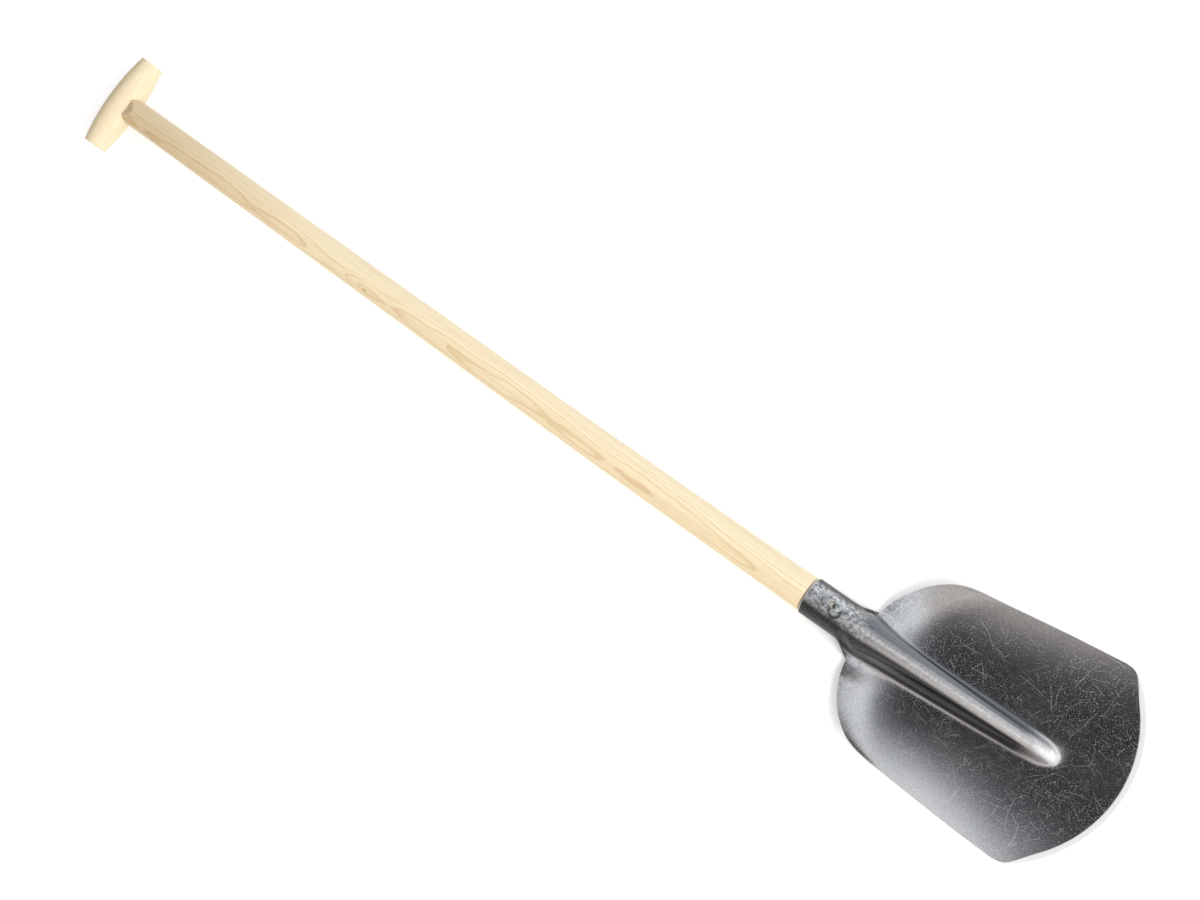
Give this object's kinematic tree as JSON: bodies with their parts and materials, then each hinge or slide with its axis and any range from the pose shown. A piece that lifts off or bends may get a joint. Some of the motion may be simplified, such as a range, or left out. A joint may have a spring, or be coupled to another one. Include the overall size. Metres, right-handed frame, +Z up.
{
  "type": "garden shovel",
  "caption": "Long-handled garden shovel: dished round-shouldered steel blade with a central rib and rolled socket, bent ash shaft and barrel-shaped T grip.",
  "frame": {"origin": "centre of the bounding box in X and Y, at floor level, with the tool lying on its back", "axes": "+X from the grip to the blade's front edge, +Y across the blade, +Z up, out of the blade's working face"},
  "size_m": [1.3702, 0.2118, 0.0951],
  "materials": {
    "blade_steel": "bare cold-rolled steel, smooth and mirror-like with fine scuffs, ground bright along the front edge",
    "shaft_ash": "sanded pale ash, grain along the handle",
    "grip_ash": "sanded pale ash, grain along the grip",
    "screw_zinc": "bright zinc plate"
  },
  "bodies": {
    "root": {"blade": "blade_steel", "shaft": "shaft_ash", "t_grip": "grip_ash", "socket_screw": "screw_zinc"}
  },
  "joints": []
}
